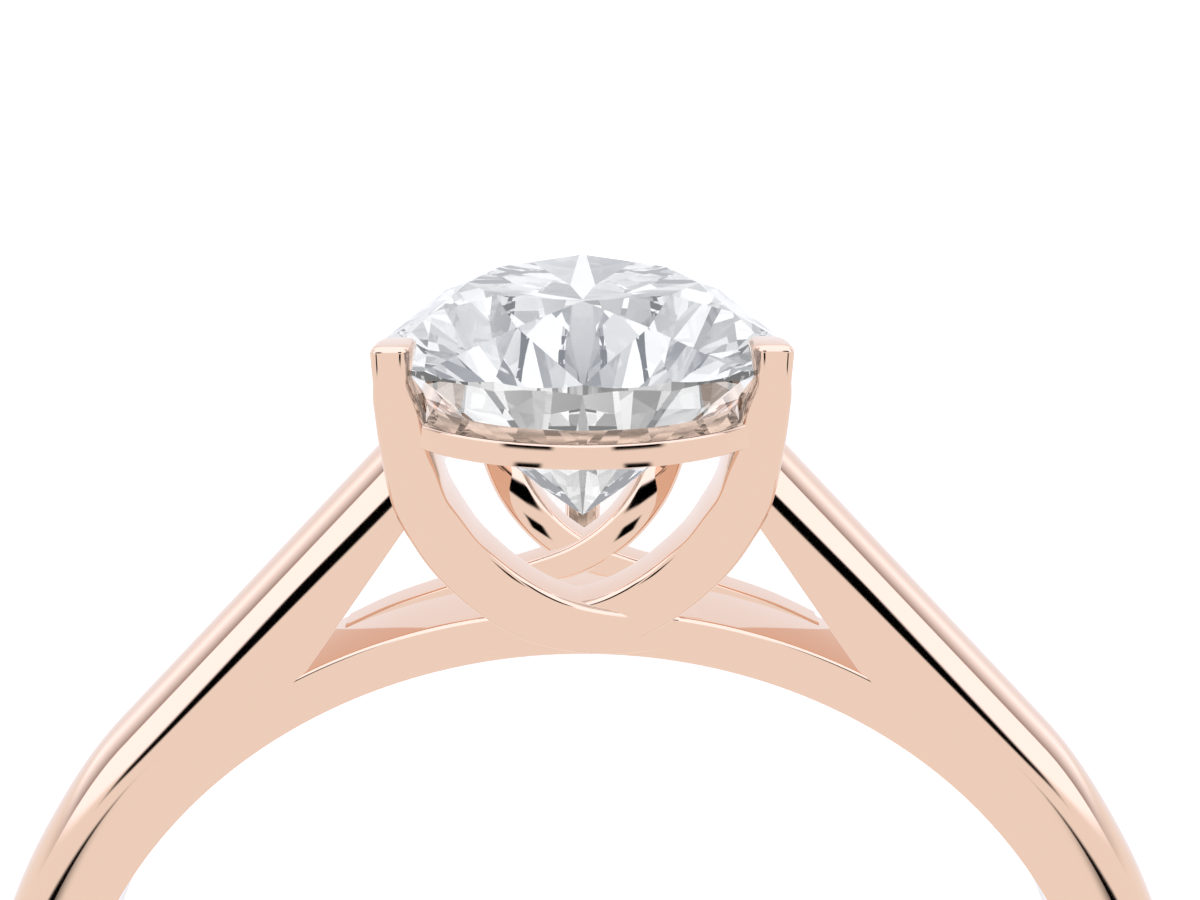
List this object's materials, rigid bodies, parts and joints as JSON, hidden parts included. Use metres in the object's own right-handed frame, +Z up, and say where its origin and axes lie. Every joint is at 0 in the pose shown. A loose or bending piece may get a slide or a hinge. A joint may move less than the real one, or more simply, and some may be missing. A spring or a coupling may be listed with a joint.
{
  "type": "solitaire engagement ring",
  "caption": "Rose gold solitaire ring with a pear-shaped stone held by crossed claw arms between rising open shoulders.",
  "frame": {"origin": "bottom centre of the ring's box as it lies on its side, on the surface it rests on", "axes": "+Y from the foot of the band towards the stone, +Z up, +X across the finger hole; the finger hole's axis leans 8.7 degrees from +Z because the head lifts the ring"},
  "size_m": [0.02, 0.0242, 0.0082],
  "materials": {
    "rose_gold": "polished",
    "stone": "polished"
  },
  "bodies": {
    "root": {"band_and_setting": "rose_gold", "stone": "stone"}
  },
  "joints": []
}
